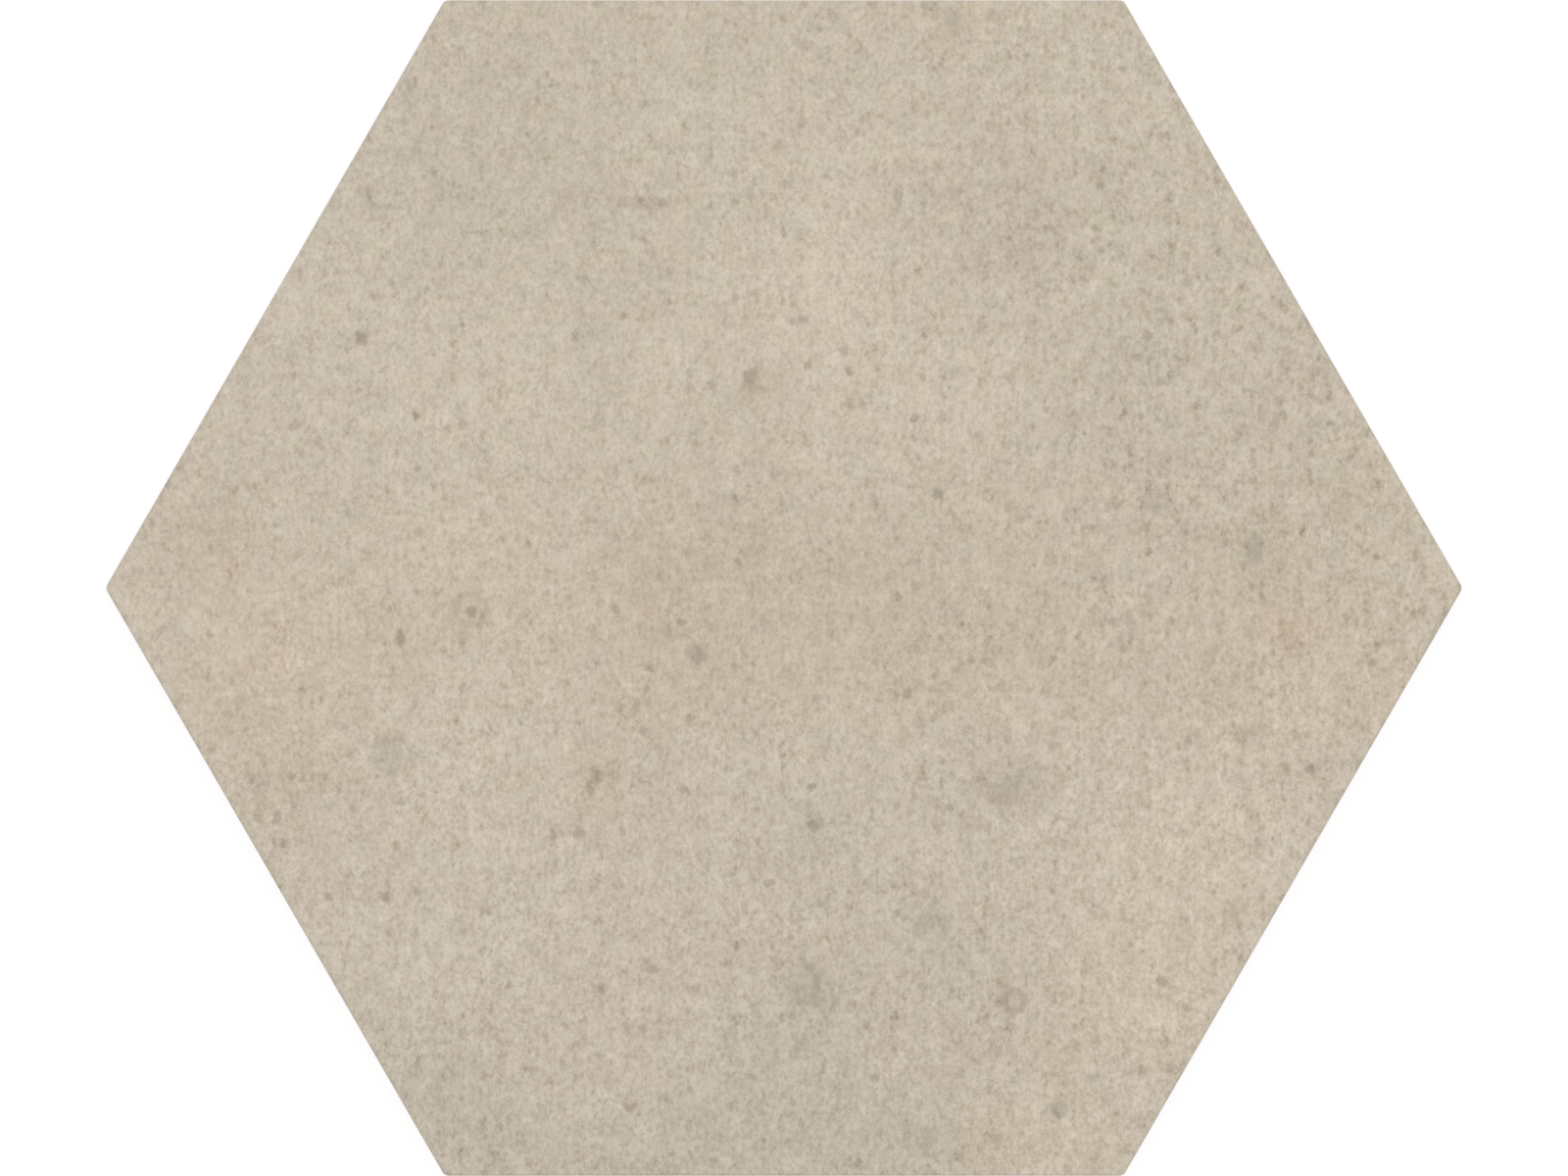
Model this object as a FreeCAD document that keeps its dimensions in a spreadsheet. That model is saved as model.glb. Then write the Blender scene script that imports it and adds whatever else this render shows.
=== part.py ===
"""Hexagon floor tile, dry-pressed and fired in one piece, lying face up.

The origin is at the middle of the back, in the plane that the tile rests on. +Z points out of the
walking face, +X points at a corner and +Y at the middle of a side. Lengths are in millimetres.

The tile is one solid. From the top down its side has a small rounded arris, an upright band where the
joint to the neighbouring tile is measured, and a bevel that draws the edge in towards the back. The back is
keyed for the adhesive: a plain rim, and inside it rings of shallow hexagonal pockets with sloping walls,
parted by ribs of one width.
"""

import FreeCAD, Part

import math
import os

import Sketcher

NODE = "hexagon_tile"
SIDES = 6

# The driving dimensions: alias, size and what it measures. Lengths in mm, the one angle in degrees.
SIZES = [
    ("across_flats", 175.0, "side to opposite side, over the upright bands"),
    ("tile_thickness", 9.0, "walking face to the plane the tile rests on"),
    ("corner_radius", 1.2, "radius of the six upright corners"),
    ("arris_radius", 0.6, "radius of the edge round the walking face"),
    ("bevel_inset", 0.8, "how far the back's outline lies inside the band"),
    ("bevel_height", 2.4, "height of the bevel above the resting plane"),
    ("rim_width", 7.5, "plain rim, from the nearest pocket to the edge of the back"),
    ("ring_count", 6, "rings of pockets round the middle one, a plain number"),
    ("rib_width", 3.0, "crest of the rib between two pockets"),
    ("pocket_depth", 0.8, "depth of a pocket"),
    ("pocket_draft", 30.0, "slope of a pocket's wall from upright"),
]

# The rings of pockets fill the room from the middle of the back to its rim. A ring's row lies pitch * cos 30
# further out than the row before it. A pocket turns a corner to the tile's side, so it reaches out by half
# its diagonal. So room = ring_count * pitch * cos 30 + (pitch - rib_width) / 2 / cos 30: the pitch follows.
ROOM = "(Sizes.across_flats / 2 - Sizes.bevel_inset - Sizes.rim_width)"
PITCH = (f"({ROOM} + Sizes.rib_width / 2 / cos(30 deg))"
         " / (Sizes.ring_count * cos(30 deg) + 1 / 2 / cos(30 deg))")
POCKET_ACROSS = f"({PITCH} - Sizes.rib_width)"


def make_sizes(doc):
    """The spreadsheet of driving dimensions, one row for each."""
    sheet = doc.addObject("Spreadsheet::Sheet", "Sizes")
    for row, (alias, value, meaning) in enumerate(SIZES, start=1):
        sheet.set(f"A{row}", alias)
        sheet.set(f"B{row}", str(value))
        sheet.set(f"C{row}", meaning)
        sheet.setAlias(f"B{row}", alias)
    doc.recompute()
    return sheet


def settle(feature):
    """Works the feature out, and stops if it failed or came out empty."""
    feature.Document.recompute()
    if {"Invalid", "Error"} & set(feature.State) or feature.Shape.isNull():
        raise RuntimeError(f"{feature.Label} failed: {feature.getStatusString()}")
    return feature


def origin_plane(body, role):
    """A plane of the body's own origin, such as XY_Plane."""
    return next(item for item in body.Origin.OriginFeatures if item.Role == role)


def hexagon_sketch(body, name, across_flats, first_corner_deg, centre_x="0"):
    """A regular hexagon on the XY plane, with its centre on the X axis.

    Six equal sides have their ends on a construction circle. A construction line, the sketch's Axis0, runs
    from the centre to the middle of the first side. It carries half the size across flats and the hexagon's
    turn. across_flats and centre_x are expressions on the sheet. The sides are drawn at their real size and
    place, because from far off the solver can settle on six sides of no length.
    """
    sketch = body.newObject("Sketcher::SketchObject", name)
    sketch.AttachmentSupport = [(origin_plane(body, "XY_Plane"), "")]
    sketch.MapMode = "FlatFace"

    radius = float(sketch.evalExpression(across_flats)) / 2 / math.cos(math.pi / SIDES)
    centre = FreeCAD.Vector(float(sketch.evalExpression(centre_x)), 0, 0)
    corners = []
    for i in range(SIDES):
        angle = math.radians(first_corner_deg + i * 360 / SIDES)
        corners.append(centre + FreeCAD.Vector(radius * math.cos(angle), radius * math.sin(angle), 0))
    for i in range(SIDES):
        sketch.addGeometry(Part.LineSegment(corners[i], corners[(i + 1) % SIDES]), False)
    middle = (corners[0] + corners[1]) * 0.5
    circle = sketch.addGeometry(Part.Circle(centre, FreeCAD.Vector(0, 0, 1), radius), True)
    spoke = sketch.addGeometry(Part.LineSegment(centre, middle), True)

    for i in range(SIDES):
        sketch.addConstraint(Sketcher.Constraint("Coincident", i, 2, (i + 1) % SIDES, 1))
        sketch.addConstraint(Sketcher.Constraint("PointOnObject", i, 1, circle))
    for i in range(1, SIDES):
        sketch.addConstraint(Sketcher.Constraint("Equal", 0, i))
    sketch.addConstraint(Sketcher.Constraint("Coincident", spoke, 1, circle, 3))
    sketch.addConstraint(Sketcher.Constraint("PointOnObject", spoke, 2, 0))
    sketch.addConstraint(Sketcher.Constraint("Perpendicular", spoke, 0))
    turn = math.radians(first_corner_deg + 180 / SIDES)
    sketch.addConstraint(Sketcher.Constraint("Angle", -1, 1, spoke, 1, turn))
    half = sketch.addConstraint(Sketcher.Constraint("Distance", spoke, (middle - centre).Length))
    sketch.renameConstraint(half, "half_across_flats")
    sketch.setExpression("Constraints.half_across_flats", f"{across_flats} / 2 * 1 mm")

    if centre.x == 0:
        sketch.addConstraint(Sketcher.Constraint("Coincident", circle, 3, -1, 1))
    else:
        sketch.addConstraint(Sketcher.Constraint("PointOnObject", circle, 3, -1))
        away = sketch.addConstraint(Sketcher.Constraint("DistanceX", circle, 3, centre.x))
        sketch.renameConstraint(away, "centre_x")
        sketch.setExpression("Constraints.centre_x", f"{centre_x} * 1 mm")
    return sketch


def press_blank(body):
    """The blank: the upright band, and below it the bevel, both from one outline at the bevel's top."""
    outline = hexagon_sketch(body, "outline", "Sizes.across_flats", first_corner_deg=0)
    outline.setExpression(".AttachmentOffset.Base.z", "Sizes.bevel_height * 1 mm")
    settle(outline)

    band = body.newObject("PartDesign::Pad", "band")
    band.Profile = outline
    band.setExpression("Length", "(Sizes.tile_thickness - Sizes.bevel_height) * 1 mm")
    settle(band)

    bevel = body.newObject("PartDesign::Pad", "bevel")
    bevel.Profile = outline
    bevel.Reversed = True
    bevel.setExpression("Length", "Sizes.bevel_height * 1 mm")
    bevel.setExpression("TaperAngle", "-atan(Sizes.bevel_inset / Sizes.bevel_height)")
    return settle(bevel)


def corner_edges(shape):
    """The edges that climb the tile's side, upright or slanted, at its six corners."""
    climbing = []
    for edge in shape.Edges:
        low, high = sorted(vertex.Z for vertex in edge.Vertexes)
        if high - low > edge.Length / 2:
            climbing.append(edge)
    return climbing


def walking_face_edges(shape):
    """The edges round the highest face."""
    return max(shape.Faces, key=lambda face: face.CenterOfMass.z).OuterWire.Edges


def round_edges(body, name, base, pick_edges, radius):
    """A fillet on the edges that pick_edges finds in the base. radius is an expression on the sheet."""
    shape = base.Shape
    picked = pick_edges(shape)
    names = []
    for number, edge in enumerate(shape.Edges, start=1):
        if any(edge.isSame(other) for other in picked):
            names.append(f"Edge{number}")
    fillet = body.newObject("PartDesign::Fillet", name)
    fillet.Base = (base, names)
    fillet.setExpression("Radius", f"{radius} * 1 mm")
    return settle(fillet)


def pocket_at(body, name, centre_x="0"):
    """One pocket in the back, with its flats turned to its neighbours. It narrows towards its floor."""
    mouth = hexagon_sketch(body, f"{name}_mouth", POCKET_ACROSS, first_corner_deg=90, centre_x=centre_x)
    pocket = body.newObject("PartDesign::Pocket", name)
    pocket.Profile = mouth
    pocket.Reversed = True  # from the resting plane up into the tile
    pocket.setExpression("Length", "Sizes.pocket_depth * 1 mm")
    pocket.setExpression("TaperAngle", "-Sizes.pocket_draft * 1 deg")
    return mouth, settle(pocket)


def pocket_rings(body, mouth, pocket):
    """The rings of pockets round the centre one, all copies of the pocket one pitch from the centre.

    N rings are three equal rhombi of N by N + 1 pockets. One rhombus runs along the X axis and along the
    mouth's construction line, 120 degrees further round, and a turn in three steps makes the other two.
    """
    rings = body.newObject("PartDesign::MultiTransform", "pocket_rings")
    rings.Originals = [pocket]
    rings.Refine = False  # the pockets lie apart, so no faces meet that could be made one
    along = body.newObject("PartDesign::LinearPattern", "pockets_along")
    along.Direction = (mouth, ["H_Axis"])
    across = body.newObject("PartDesign::LinearPattern", "pockets_across")
    across.Direction = (mouth, ["Axis0"])
    for row, count in ((along, "Sizes.ring_count"), (across, "Sizes.ring_count + 1")):
        row.Mode = "Spacing"
        row.setExpression("Offset", f"{PITCH} * 1 mm")
        row.setExpression("Occurrences", count)
    thirds = body.newObject("PartDesign::PolarPattern", "pocket_thirds")
    thirds.Axis = (mouth, ["N_Axis"])
    thirds.Angle = 360
    thirds.Occurrences = 3
    rings.Transformations = [along, across, thirds]
    body.Tip = rings
    settle(rings)
    return along.Occurrences * across.Occurrences * thirds.Occurrences


def key_back(body):
    """Cuts the pockets and checks that each took its share out of the tile. Returns how many there are."""
    solid = body.Shape.Volume
    pocket_at(body, "centre_pocket")
    one_cut = solid - body.Shape.Volume
    mouth, pocket = pocket_at(body, "ring_pocket", centre_x=PITCH)
    count = 1 + pocket_rings(body, mouth, pocket)
    all_cuts = solid - body.Shape.Volume
    if one_cut <= 0 or round(all_cuts / one_cut) != count:
        raise RuntimeError(f"{count} pockets of {one_cut:.2f} mm3 took {all_cuts:.2f} mm3 out of the back")
    return count


def check(doc, body):
    """Stops at a failed feature, or at a tile that isn't one sound solid."""
    failed = [item.Name for item in doc.Objects if {"Invalid", "Error"} & set(item.State)]
    if failed:
        raise RuntimeError(f"failed: {', '.join(failed)}")
    shape = body.Shape
    if shape.isNull() or not shape.isValid() or len(shape.Solids) != 1:
        raise RuntimeError("the tile isn't one valid solid")


def main():
    doc = FreeCAD.newDocument("hexagon_floor_tile")
    make_sizes(doc)
    body = doc.addObject("PartDesign::Body", NODE)
    bevel = press_blank(body)
    corners = round_edges(body, "corners", bevel, corner_edges, "Sizes.corner_radius")
    round_edges(body, "arris", corners, walking_face_edges, "Sizes.arris_radius")
    pockets = key_back(body)
    doc.recompute()
    check(doc, body)

    box = body.Shape.optimalBoundingBox(False)
    print(f"{body.Label}: {box.XLength:.2f} x {box.YLength:.2f} x {box.ZLength:.2f} mm,"
          f" {body.Shape.Volume / 1000:.1f} cm3, {pockets} pockets")
    os.makedirs("parts", exist_ok=True)
    body.Shape.exportStep(f"parts/{body.Label}.step")


main()
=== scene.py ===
# %% [markdown]
# # A hexagon floor tile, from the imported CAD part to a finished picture
#
# The real object is one pressed and fired slab of porcelain stoneware. Its walking face carries a matt
# printed coat that looks like troweled concrete, its sides are bare fired body, and its back is keyed
# with shallow hexagonal pockets. The CAD part gives every size. This script gives it what a plain solid
# lacks: eased edges, a face that is not quite flat, and finishes made of nodes.
#
# The frame is loaded first, because everything that follows stands around it and none of it may move.

import math

import bmesh
import bpy
import numpy as np
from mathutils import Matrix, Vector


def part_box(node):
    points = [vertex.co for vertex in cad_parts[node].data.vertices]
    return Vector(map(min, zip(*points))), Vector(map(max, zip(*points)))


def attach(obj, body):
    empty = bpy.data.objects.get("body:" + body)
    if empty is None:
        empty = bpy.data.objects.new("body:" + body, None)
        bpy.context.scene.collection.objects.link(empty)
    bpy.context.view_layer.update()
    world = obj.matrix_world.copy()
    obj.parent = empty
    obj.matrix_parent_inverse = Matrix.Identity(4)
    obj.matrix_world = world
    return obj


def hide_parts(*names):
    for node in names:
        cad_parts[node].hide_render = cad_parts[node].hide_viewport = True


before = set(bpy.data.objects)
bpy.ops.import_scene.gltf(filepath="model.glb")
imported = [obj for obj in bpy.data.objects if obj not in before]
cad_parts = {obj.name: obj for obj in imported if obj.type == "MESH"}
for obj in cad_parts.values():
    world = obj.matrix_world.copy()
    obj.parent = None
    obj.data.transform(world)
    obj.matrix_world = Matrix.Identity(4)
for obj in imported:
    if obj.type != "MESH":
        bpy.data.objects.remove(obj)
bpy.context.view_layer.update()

# %% [markdown]
# The tile lies flat with the middle of its back at the origin, its corners along +X and every 60 degrees
# on. Sizes that the frame can tell are read from it. The others are the ones the CAD model is built with,
# in metres, so that the dressed tile fits over the solid it stands for.

# %% The tile's sizes
low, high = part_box("hexagon_tile")
MM = 0.001
SIDES = 6
thickness = high.z - low.z
half_across = (high.y - low.y) / 2      # middle of the tile to the middle of a side
corner_radius = 1.2 * MM
arris_radius = 0.6 * MM
bevel_inset, bevel_height = 0.8 * MM, 2.4 * MM
rim_width = 7.5 * MM
rings = 6
rib_width = 3.0 * MM
pocket_depth = 0.8 * MM
pocket_draft = math.radians(30)

# The rings of pockets fill the back up to the rim, as in the CAD model: a ring's row lies pitch * cos 30
# further out than the one before, and half a pocket's diagonal stands out beyond the last row.
room = half_across - bevel_inset - rim_width
cos30 = math.cos(math.radians(30))
pitch = (room + rib_width / 2 / cos30) / (rings * cos30 + 0.5 / cos30)
print(f"{2 * half_across / MM:.1f} mm across flats, {thickness / MM:.1f} mm thick,"
      f" pitch {pitch / MM:.3f} mm")

# %% [markdown]
# ## One count of points for every seam
#
# The skin is made of four kinds of surface: the walking face, the edge that runs round it, the plain rim
# of the back, and the pockets. Each could be made by itself and joined with a boolean, but booleans leave
# long thin triangles that shade badly. Here every surface is a grid, and all the grids that meet have the
# same points along the seam, so merging doubles closes the skin. The honeycomb sets the count: along one
# side of the tile its outline has 2 * rings + 1 cell edges.

# %% Points along one side of the tile
steps_per_edge = 8                       # points on one edge of a pocket's cell
steps_per_side = steps_per_edge * (2 * rings + 1)
print(steps_per_side, "steps along each side,", SIDES * steps_per_side, "round the tile")


# %% [markdown]
# ## A hexagon path with round corners
#
# A hexagon with round corners is a smaller sharp hexagon pushed outwards by the radius: a point keeps its
# place on the small hexagon, and the direction it is pushed in turns round the corners and stands still
# along the sides. That formula has no special cases, so it works on whole arrays, for any list of sizes
# at once.

# %% The path
def hexagon_path(apothem, radius, steps, corner_steps, first_corner_deg=0.0):
    """Points round a hexagon: rows of (SIDES * steps) points, one row for each apothem and radius.

    Along a side the share s runs from 0 to 1. In the first and last corner_steps the point waits at the
    small hexagon's corner while its push turns by 30 degrees. Between them it walks along the small
    hexagon's side. With corner_steps 0 and radius 0 this is a sharp hexagon with evenly spaced points.
    """
    apothem, radius = np.atleast_1d(apothem)[:, None, None], np.atleast_1d(radius)[:, None, None]
    s = np.arange(steps) / steps
    wait = corner_steps / steps
    walk = np.clip((s - wait) / (1 - 2 * wait), 0, 1)
    turn = np.minimum(s, 1 - s) / max(wait, 1e-9)
    turn = np.where(s < 0.5, 30 * np.minimum(turn, 1), 60 - 30 * np.minimum(turn, 1))
    if not corner_steps:
        turn = np.full(steps, 30.0)
    corner = np.radians(first_corner_deg + 60.0 * np.arange(SIDES))[:, None]
    push = corner + np.radians(turn)
    reach = (apothem - radius) / cos30
    x = reach * ((1 - walk) * np.cos(corner) + walk * np.cos(corner + math.pi / 3)) + radius * np.cos(push)
    y = reach * ((1 - walk) * np.sin(corner) + walk * np.sin(corner + math.pi / 3)) + radius * np.sin(push)
    return np.stack([x, y], -1).reshape(len(apothem), SIDES * steps, 2)


# %% [markdown]
# ## A profile with eased corners
#
# No pressed edge is knife sharp. Every profile below is written as a few straight runs, and each inner
# corner is then replaced by an arc: the arc starts where a circle of the given radius touches the one run
# and ends where it touches the other.

# %% Ease the corners of a profile
def eased(points, radii, steps):
    """A polyline with arcs at its inner corners, as an array of (inset, height).

    The circle's centre lies on the corner's bisector, radius / sin(half the corner's angle) away. The arc's
    points are the centre plus the radius times directions blended between the two touching points.
    """
    points = np.array(points, float)
    out = [points[:1]]
    for before, at, after, radius in zip(points, points[1:], points[2:], radii):
        back, on = (before - at) / np.linalg.norm(before - at), (after - at) / np.linalg.norm(after - at)
        half = math.acos(np.clip(back @ on, -1, 1)) / 2
        bisector = (back + on) / np.linalg.norm(back + on)
        centre = at + bisector * radius / math.sin(half)
        first = (at + back * radius / math.tan(half) - centre) / radius
        last = (at + on * radius / math.tan(half) - centre) / radius
        sweep = math.acos(np.clip(first @ last, -1, 1))
        t = np.linspace(0, 1, steps + 1)[:, None]
        blended = (np.sin((1 - t) * sweep) * first + np.sin(t * sweep) * last) / math.sin(sweep)
        out.append(centre + radius * blended)
    return np.concatenate(out + [points[-1:]])


# %% [markdown]
# ## Collecting the grids
#
# A grid of points becomes faces by one rule: each point is joined to the next one in its row and to the
# two above. A ring closes on itself. All the grids go into one list of points and one list of faces.

# %% The skin's store
class Skin:
    """Grids of points that become one mesh."""

    def __init__(self):
        self.points, self.faces, self.count = [], [], 0

    def grid(self, points, closed=False):
        """Adds a grid of (rows, columns, 3) points. The face's outside is where columns turn to rows."""
        rows, columns = points.shape[:2]
        index = self.count + np.arange(rows * columns).reshape(rows, columns)
        if closed:
            index = np.concatenate([index, index[:, :1]], 1)
        quads = np.stack([index[:-1, :-1], index[:-1, 1:], index[1:, 1:], index[1:, :-1]], -1)
        self.points.append(points.reshape(-1, 3))
        self.faces.append(quads.reshape(-1, 4))
        self.count += rows * columns


def with_height(flat, height):
    """Adds a third coordinate to an array of flat points. The height broadcasts."""
    height = np.broadcast_to(height, flat.shape[:-1])
    return np.concatenate([flat, height[..., None]], -1)


skin = Skin()

# %% [markdown]
# ## The walking face
#
# A fired slab is never a perfect plane. The press tool and the drying leave long low swells, far too low
# to trip on but enough to break up a glancing light. They are a sum of a few dozen plane waves with
# seeded directions and phases. The relief only ever cuts down from the tile's top plane, and it fades out
# at the edge, so that the arris stays true.

# %% The face's low relief
relief_depth = 0.05 * MM
fade_width = 5 * MM                      # from the edge in, over which the relief sets in
swell_count = 48
dice = np.random.default_rng(11)
swell_length = dice.uniform(6, 45, swell_count) * MM
swell_heading = dice.uniform(0, math.pi, swell_count)
swell_phase = dice.uniform(0, 2 * math.pi, swell_count)


def relief(x, y):
    """How far the face lies below the top plane: waves added up, brought between 0 and relief_depth."""
    wave = 2 * math.pi / swell_length
    run_x, run_y = wave * np.cos(swell_heading), wave * np.sin(swell_heading)
    phase = x[..., None] * run_x + y[..., None] * run_y + swell_phase
    weight = np.sqrt(swell_length / swell_length.max())
    total = (np.sin(phase) * weight).sum(-1) / np.sqrt((weight ** 2).sum() / 2)
    return relief_depth * (0.5 + 0.5 * np.tanh(0.7 * total))


def smooth(value, start, end):
    """0 before start, 1 after end, and the curve 3 t^2 - 2 t^3 between them."""
    t = np.clip((value - start) / (end - start), 0, 1)
    return t * t * (3 - 2 * t)


def apothem_at(x, y):
    """How far out flat points lie: the apothem of the hexagon about the origin that runs through them."""
    outward = np.radians(30 + 60 * np.arange(SIDES))
    return (x[..., None] * np.cos(outward) + y[..., None] * np.sin(outward)).max(-1)


def face_height(flat):
    """The walking face's height over flat points: the top plane less the relief, none at the edge."""
    x, y = flat[..., 0], flat[..., 1]
    fade = smooth(half_across - apothem_at(x, y), arris_radius, fade_width)
    return thickness - relief(x, y) * fade


# %% [markdown]
# The flat of the face is three equal rhombi that share the centre. Each is a plain grid: a step along one
# diagonal of the hexagon and a step along another. That gives cells of one size over the whole face,
# where rings round the centre would crowd in the middle.

# %% Three rhombi and the strip to the arris
core_apothem = half_across - 3 * MM      # the rhombi end here, and the strip begins
corner_steps = 4                         # of a side's steps, at each end, in the round corner
share = np.linspace(0, 1, steps_per_side + 1)
for third in range(3):
    a, b = (core_apothem / cos30 * np.array([math.cos(t), math.sin(t)])
            for t in np.radians([120 * third, 120 * third + 120]))
    flat = share[None, :, None] * a + share[:, None, None] * b
    skin.grid(with_height(flat, face_height(flat)))

core_ring = hexagon_path(core_apothem, 0.0, steps_per_side, 0)
arris_ring = hexagon_path(
    half_across - arris_radius, corner_radius - arris_radius, steps_per_side, corner_steps)
blend = np.array([0, 0.5, 1])[:, None, None]
flat = core_ring * blend + arris_ring * (1 - blend)
skin.grid(with_height(flat, face_height(flat)), closed=True)
print("face:", sum(len(f) for f in skin.faces), "quads")

# %% [markdown]
# ## The edge all round
#
# From the top down the side has a fine round arris, an upright band and a bevel that draws the edge in,
# so that tiles laid side by side touch at their bands alone. It is one profile carried round the hexagon
# path. Where the profile steps inwards past the band, the path's corner radius follows for the arris and
# stays the same for the bevel, as the rounding tool in the press die leaves it.

# %% The side's profile, carried round
bevel_ease, foot_ease = 0.8 * MM, 0.25 * MM   # radii above and below the bevel
rim_start = bevel_inset + 1.5 * MM            # where the profile hands over to the rim
side = eased(
    [(arris_radius, thickness), (0, thickness), (0, bevel_height), (bevel_inset, 0), (rim_start, 0)],
    [arris_radius - 1e-7, bevel_ease, foot_ease], steps=6)[1:]
inset, height = side[:, 0], side[:, 1]
on_arris = height > thickness - arris_radius
radius = np.where(on_arris, corner_radius - inset, corner_radius)
rim_edge = hexagon_path(half_across - inset, radius, steps_per_side, corner_steps)
edge = with_height(rim_edge, height[:, None])
skin.grid(edge[::-1], closed=True)
print("edge:", len(side), "rows round the tile")


# %% [markdown]
# ## The rim of the back
#
# The plain rim lies between the tile's outline and the zigzag outline of the honeycomb. The zigzag is
# walked cell by cell: each outer cell shows two of its edges, and the corner cells a half edge more. A
# straight blend from the zigzag to the outline fills the rim.

# %% The rim
def lattice(along, across):
    """The centre of a pocket: steps along 0 degrees and along 120 degrees, one pitch each."""
    along, across = np.asarray(along, float), np.asarray(across, float)
    return np.stack([along - across / 2, across * math.sin(math.pi / 3)], -1) * pitch


def polar(distance, degrees):
    """Flat points at a distance and directions in degrees."""
    angle = np.radians(degrees)
    return np.stack([distance * np.cos(angle), distance * np.sin(angle)], -1)


cell_corner = pitch / 2 / cos30
side_cells = lattice(np.full(rings + 1, rings), np.arange(rings + 1))
corners = (side_cells[:, None] + polar(cell_corner, np.array([30, 90]))).reshape(-1, 2)[:-1]
knots = np.concatenate([side_cells[:1] + polar(pitch / 2, np.array([0])), corners,
                        side_cells[-1:] + polar(pitch / 2, np.array([60]))])
knot_step = np.concatenate([[0], steps_per_edge * (0.5 + np.arange(len(corners))), [steps_per_side]])
step = np.arange(steps_per_side)
zigzag = np.stack([np.interp(step, knot_step, knots[:, axis]) for axis in (0, 1)], -1)
turns = np.radians(60 * np.arange(SIDES))
cosines, sines = np.cos(turns), np.sin(turns)
turned = np.stack([np.stack([cosines, sines], -1), np.stack([-sines, cosines], -1)], 1)
zigzag = (zigzag @ turned).reshape(1, -1, 2)
blend = np.array([0, 0.35, 0.7, 1])[:, None, None]
rim = zigzag * (1 - blend) + rim_edge[-1:] * blend
skin.grid(with_height(rim, 0.0), closed=True)

# %% [markdown]
# ## The pockets
#
# One pocket is a profile carried round a hexagon: from the middle of the rib over an eased lip, down the
# sloping wall to an eased foot and across the floor. The cell's own edge is sharp and evenly spaced, so
# that cells meet point to point; the pocket inside has round corners, because a press tool has them. The
# centre of the floor is closed with triangles. All pockets are the same, so the others are this one moved
# over the lattice.

# %% One pocket and its copies
wall_run = pocket_depth * math.tan(pocket_draft)
mouth = rib_width / 2
floor_hole = 2.6 * MM                    # half across what is left open on the floor, for the fan
lip_ease, floor_ease = 0.25 * MM, 0.35 * MM
pocket = eased(
    [(0, 0), (mouth, 0), (mouth + wall_run, pocket_depth), (pitch / 2 - floor_hole, pocket_depth)],
    [lip_ease, floor_ease], steps=2)[1:]
pocket_radius = 0.9 * MM                 # of its upright corners
walls = hexagon_path(pitch / 2 - pocket[:, 0], np.full(len(pocket), pocket_radius), steps_per_edge, 2, 30)
walls = with_height(walls, pocket[:, 1][:, None])
cell = with_height(hexagon_path(pitch / 2, 0.0, steps_per_edge, 0, 30), 0.0)
pocket_grid = np.concatenate([cell, walls])
centres = [lattice(0, 0)]
along, across = np.meshgrid(np.arange(1, rings + 1), np.arange(rings + 1), indexing="ij")
for third in range(3):
    angle = math.radians(120 * third)
    turn = np.array([[math.cos(angle), math.sin(angle)], [-math.sin(angle), math.cos(angle)]])
    centres.extend(lattice(along, across).reshape(-1, 2) @ turn)
for centre in centres:
    skin.grid((pocket_grid + np.append(centre, 0))[::-1], closed=True)
print(len(centres), "pockets")


# %% [markdown]
# ## From grids to one closed skin
#
# The points go into a mesh, the doubles along the seams are merged, and the hole left in the middle of
# each pocket's floor is filled with a fan. A closed skin has exactly two faces at every edge, which is
# counted.

# %% Make the mesh
def close_skin(name, store, tolerance=1e-6):
    """Merges the grids' seams and fills the open floors. Returns the object, at the origin."""
    mesh = bpy.data.meshes.new(name)
    mesh.from_pydata(np.concatenate(store.points), [], np.concatenate(store.faces).tolist())
    work = bmesh.new()
    work.from_mesh(mesh)
    bmesh.ops.remove_doubles(work, verts=work.verts, dist=tolerance)
    open_edges = [e for e in work.edges if e.is_boundary]
    filled = bmesh.ops.holes_fill(work, edges=open_edges, sides=0)["faces"]
    bmesh.ops.poke(work, faces=filled)
    bmesh.ops.recalc_face_normals(work, faces=work.faces)
    loose = sum(len(e.link_faces) != 2 for e in work.edges)
    volume = work.calc_volume(signed=True)
    work.to_mesh(mesh)
    work.free()
    mesh.calc_loop_triangles()
    print(f"{name}: {len(mesh.vertices)} points, {len(mesh.loop_triangles)} triangles,"
          f" {len(filled)} floors, {loose} edges without two faces, {volume * 1e6:.2f} cm3")
    piece = bpy.data.objects.new(name, mesh)
    bpy.context.scene.collection.objects.link(piece)
    mesh.shade_smooth()
    return piece


tile = close_skin("printed_tile", skin)

# %% Say what the tile is and what it stands for
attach(tile, "root")
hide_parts("hexagon_tile")

# %% [markdown]
# ## The camera
#
# The picture looks straight down on the face, so flat that it could be a scan. A long lens from above the
# middle of the tile gives that view: an unturned Blender camera looks down with +Y up in the picture, as
# the tile lies. The face runs from the top to the bottom of the frame. The frame is set a hair tighter
# than the tile, because the arris rounds away from the edge and would leave a line of floor there.

# %% The camera
frame_width, frame_height = 1600, 1200
tighter = 0.9993                         # the share of the face's height that the frame holds
camera = bpy.data.cameras.new("overhead")
camera.lens, camera.sensor_width = 100, 36
overhead = bpy.data.objects.new("overhead", camera)
view_width = 2 * half_across * tighter * frame_width / frame_height
overhead.location = (0, 0, thickness + view_width * camera.lens / camera.sensor_width)
scene = bpy.context.scene
scene.collection.objects.link(overhead)
scene.camera = overhead
scene.view_settings.view_transform = "Standard"
print(f"camera {overhead.location.z:.4f} m up, {view_width / MM:.1f} mm across the frame")

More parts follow.
